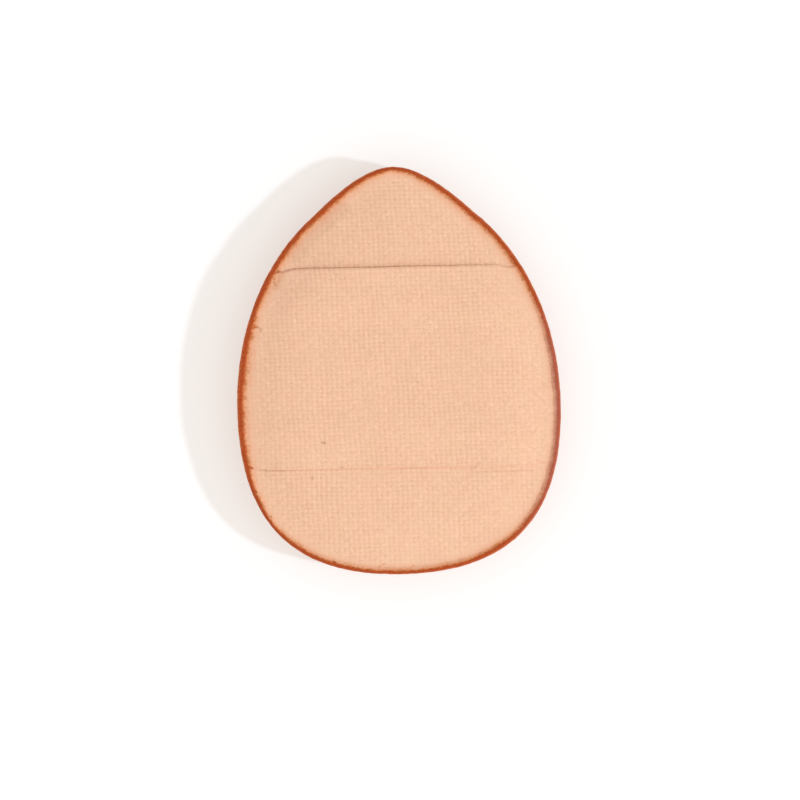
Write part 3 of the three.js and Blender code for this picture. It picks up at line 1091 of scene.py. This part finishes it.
def cloth_material(name, light, gap_shade):
    """Woven cloth, from the values that its points carry, with painted shade in the gaps between
    yarns.
    """
    material, tree, shader = new_material(
        name, roughness=0.88, specular=0.2, sheen=0.06, sheen_roughness=0.6)
    where = place(tree)
    relief, tone, warp = (attribute(tree, value) for value in ("relief", "tone", "warp"))
    fibres_along = noise(tree, place(tree, (1, 0.4, 1)), FIBRE_SIZE, 3, 0.7)
    fibres_across = noise(tree, place(tree, (0.55, 1, 1)), FIBRE_SIZE, 3, 0.7)
    fibres = mix(tree, warp, fibres_across, fibres_along)
    blush = spread(tree, noise(tree, where, 2.6), 0.35, 0.65)
    body = mix(tree, blush, light[0], light[1])
    # Painted shade in the gaps between yarns
    body = mix(tree, spread(tree, relief, 0.62, 0.1, 0.0, 0.7), body, gap_shade)
    mottle = noise(tree, where, 7, 3)
    lighter = combine(tree, "MULTIPLY_ADD", tone, 0.016, spread(tree, mottle, 0.3, 0.7, -0.01, 0.01))
    lighter = combine(tree, "ADD", lighter, spread(tree, fibres, 0.25, 0.75, -0.1, 0.1))
    lighter = combine(tree, "ADD", lighter, spread(tree, warp, 0, 1, -0.009, 0.009))
    tinted = {0: lighter, 1: (1.1, 1.4, 1.7), 2: (1, 1, 1)}
    brightness = add(tree, "VectorMath", tinted, operation="MULTIPLY_ADD").outputs[0]
    toned = mix(tree, 1.0, body, brightness, "MULTIPLY")
    depth = combine(tree, "ADD", ragged_melt(tree, 0.7), -0.1)
    depth = combine(tree, "MULTIPLY_ADD", relief, 0.16, depth)
    melted = spread(tree, depth, 1.35, 1.9, 1.0, 0.0)
    melted = combine(tree, "MAXIMUM", melted, attribute(tree, "burn"))
    melted = mix(tree, melted, toned, melt_colours(tree, depth))
    # Soil colour, which also paints the shade of creases, folds' lines and the zones near the rim
    soiled = mix(tree, attribute(tree, "soil"), melted, colour(158, 104, 70))
    connect(tree, shader, soiled, bump(tree, fibres, 0.012, 0.6))
    return material


def weld_material():
    """Melted cloth, streaked and uneven."""
    material, tree, shader = new_material("fused_edge", roughness=0.62, specular=0.12)
    where = place(tree)
    dark = spread(tree, noise(tree, where, 0.35, 3), 0.35, 0.7, 0.93, 1.05)
    toned = scaled(tree, melt_colours(tree, ragged_melt(tree, 0.5)), dark)
    connect(tree, shader, toned, bump(tree, noise(tree, where, 0.22, 3), 0.04, 0.8))
    streaks = spread(tree, noise(tree, where, 0.7, 4, 0.6), 0.3, 0.7, 0.52, 0.72)
    tree.links.new(streaks, shader.inputs["Roughness"])
    return material


def skin_material():
    """Fine-celled skin, a little cloudy, with painted shade in its pores."""
    material, tree, shader = new_material("microcell", roughness=0.82, specular=0.3, sheen=0.15)
    where = place(tree)
    pores = spread(tree, cells(tree, where, 0.16), 0.05, 0.45)
    cloud = spread(tree, noise(tree, where, 5, 3), 0.35, 0.65)
    body = mix(tree, cloud, colour(196, 108, 72), colour(204, 118, 82))
    # Painted shade: the pores are darker
    body = mix(tree, pores, colour(160, 76, 44), body)
    grain = bump(tree, pores, 0.03, 0.7)
    connect(tree, shader, body, bump(tree, noise(tree, where, 1.2, 3), 0.05, 0.5, grain))
    return material


def foam_material():
    """Open-celled foam, with painted shade in its cells."""
    material, tree, shader = new_material("open_cell_foam", roughness=0.95, specular=0.2)
    walls = cells(tree, place(tree), 0.45)
    body = mix(tree, spread(tree, walls, 0.1, 0.5), colour(150, 74, 50), colour(196, 112, 84))
    connect(tree, shader, body, bump(tree, walls, 0.15, 0.9))
    return material


def film_material():
    """Hazy film, softly creased."""
    material, tree, shader = new_material("barrier_film", roughness=0.32, specular=0.5)
    where = place(tree)
    body = mix(tree, noise(tree, where, 3, 3), colour(226, 208, 196), colour(238, 224, 214))
    connect(tree, shader, body, bump(tree, noise(tree, where, 1.4), 0.03, 0.6))
    return material


# Stage

KEY_SHARE = 0.25
KEY_ELEVATION = 38.3
KEY_AZIMUTH = -14
KEY_ANGLE = 4
KEY_TINT = (0.9, 1.0, 1.1)
SKY_LEAN = 0.28
FLOOR_REACH = 2000
FLOOR_COLOUR = (0.52, 0.57, 0.6)
FLOOR_BOUNCE_GREY = 0.82
FLOOR_GLOW = (0.53, 0.475, 0.435)


def seen_directly(tree):
    """1 for camera, glossy and transmission rays."""
    rays = add(tree, "LightPath", {}).outputs
    seen = combine(tree, "MAXIMUM", rays["Is Camera Ray"], rays["Is Glossy Ray"])
    return combine(tree, "MAXIMUM", seen, rays["Is Transmission Ray"])


def make_floor():
    """A plain pale floor, whose lit part shows as white."""
    reach = FLOOR_REACH * METRES
    corners = [(-reach, -reach, 0), (reach, -reach, 0), (reach, reach, 0), (-reach, reach, 0)]
    mesh = bpy.data.meshes.new("floor")
    mesh.from_pydata(corners, [], [(0, 1, 2, 3)])
    floor = put("floor", mesh)
    material = bpy.data.materials.new("floor")
    material.use_nodes = True
    tree = material.node_tree
    tree.nodes.remove(tree.nodes["Principled BSDF"])
    seen = seen_directly(tree)
    shown = mix(tree, seen, (FLOOR_BOUNCE_GREY,) * 3 + (1,), (*FLOOR_COLOUR, 1))
    matte = add(tree, "BsdfDiffuse", {"Color": shown}).outputs[0]
    glow = add(tree, "Emission", {"Color": (*FLOOR_GLOW, 1), "Strength": seen}).outputs[0]
    both = add(tree, "AddShader", {0: matte, 1: glow}).outputs[0]
    tree.links.new(both, tree.nodes["Material Output"].inputs["Surface"])
    mesh.materials.append(material)


def make_light():
    """A pale world, a little brighter towards the base, and a soft key lamp."""
    world = bpy.data.worlds.new("studio")
    bpy.context.scene.world = world
    world.use_nodes = True
    tree = world.node_tree
    around = [1 - KEY_SHARE * tint for tint in KEY_TINT]
    direction = add(tree, "TexCoord", {}).outputs["Generated"]
    to_tip = add(tree, "SeparateXYZ", {"Vector": direction}).outputs[1]
    level = spread(tree, to_tip, -1, 1, 1 + SKY_LEAN, 1 - SKY_LEAN)
    sky = mix(tree, seen_directly(tree), scaled(tree, around, level), (1, 1, 1, 1))
    tree.links.new(sky, tree.nodes["Background"].inputs["Color"])
    lamp = bpy.data.lights.new("key", "SUN")
    lamp.color = KEY_TINT
    lamp.angle = math.radians(KEY_ANGLE)
    lamp.energy = KEY_SHARE * math.pi / math.sin(math.radians(KEY_ELEVATION))
    key = put("key", lamp)
    key.rotation_euler = (0, math.radians(90 - KEY_ELEVATION), math.radians(KEY_AZIMUTH))


def make_camera():
    """The photograph's view, straight down."""
    middle = photo_place(PHOTO_PIXELS / 2, PHOTO_PIXELS / 2)
    data = bpy.data.cameras.new("camera")
    data.sensor_width = SENSOR_WIDTH
    data.lens = SENSOR_WIDTH * CAMERA_DISTANCE / (PHOTO_PIXELS * PHOTO_SCALE)
    camera = put("camera", data)
    camera.location = [value * METRES for value in (*middle, RIM_HEIGHT + CAMERA_DISTANCE)]
    camera.rotation_euler = (0, 0, -PHOTO_TURN)
    bpy.context.scene.camera = camera
    bpy.context.scene.view_settings.view_transform = "Standard"


make_camera()
make_floor()
make_light()

peach = (colour(243.6, 194.7, 162.7), colour(242.4, 196.2, 162.3))
# Colour of the painted shade in the gaps between yarns
painted_gap_shade = colour(230, 176, 142)
lining_cloth = cloth_material("lining_cloth", peach, painted_gap_shade)
band_cloth = cloth_material("band_cloth", peach, painted_gap_shade)

skin = make_skin(skin_material())
foam = make_foam(foam_material())
film = make_film(film_material())
lining = make_lining(lining_cloth)
weld = make_weld(weld_material())
for piece, node, slot in (
        (skin, "applicator_skin", "skin"), (foam, "foam_core", "foam"),
        (film, "barrier_film", "film"), (lining, "back_lining", "lining_cloth"),
        (weld, "edge_weld", "weld")):
    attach(piece, "puff")
    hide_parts(node)

for name, side in (("finger_band_left", -1), ("finger_band_right", 1)):
    half = make_band_half(name, side, band_cloth)
    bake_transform(half)
    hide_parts("finger_band")
